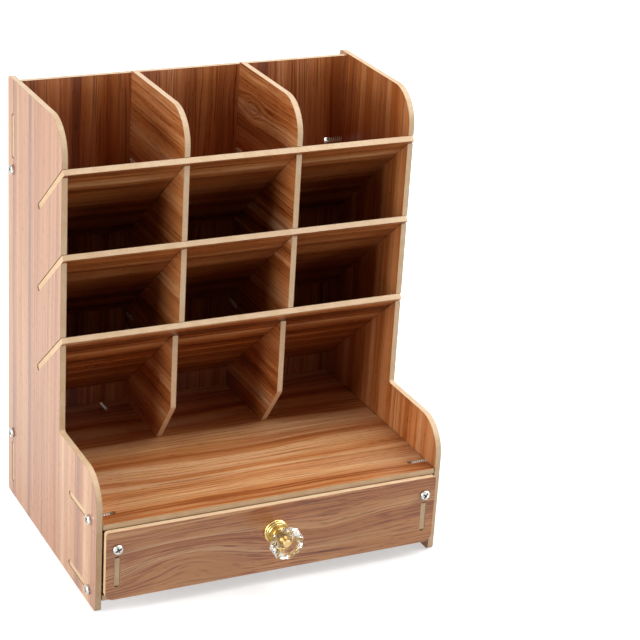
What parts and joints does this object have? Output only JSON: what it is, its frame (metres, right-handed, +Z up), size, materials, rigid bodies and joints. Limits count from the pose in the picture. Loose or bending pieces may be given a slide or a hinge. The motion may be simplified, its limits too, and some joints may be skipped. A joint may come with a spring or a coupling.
{
  "type": "desk organizer with drawer",
  "caption": "Wood-board desk organizer with sloping shelf pockets between dividers, an open desktop below them and a drawer with a crystal knob.",
  "frame": {"origin": "middle of the whole organizer's footprint, on the surface that it stands on", "axes": "+Z up, -Y to the front where the drawer opens, +X to the right as seen from the front"},
  "size_m": [0.2546, 0.2082, 0.31],
  "materials": {
    "walnut_laminate": "semi-gloss walnut-look laminate on 4 mm MDF with bare tan edges",
    "zinc_screws": "bright zinc plate",
    "brass": "polished",
    "crystal": "clear, faceted"
  },
  "bodies": {
    "case": {"left_side_panel": "walnut_laminate", "right_side_panel": "walnut_laminate", "back_panel": "walnut_laminate", "top_shelf": "walnut_laminate", "middle_shelf": "walnut_laminate", "lower_shelf": "walnut_laminate", "left_divider": "walnut_laminate", "right_divider": "walnut_laminate", "desktop_board": "walnut_laminate", "bottom_board": "walnut_laminate", "left_side_screws": "zinc_screws", "right_side_screws": "zinc_screws", "back_panel_screws": "zinc_screws"},
    "drawer": {"drawer_front": "walnut_laminate", "drawer_left_side": "walnut_laminate", "drawer_right_side": "walnut_laminate", "drawer_back": "walnut_laminate", "drawer_bottom": "walnut_laminate", "drawer_front_screws": "zinc_screws", "drawer_back_screws": "zinc_screws", "knob_base": "brass", "knob_crystal": "crystal", "knob_screw": "zinc_screws"}
  },
  "joints": [
    {"name": "drawer_slide", "type": "slide", "parent": "case", "child": "drawer", "axis": [0, -1, 0], "range_m": [0, 0.13]}
  ]
}
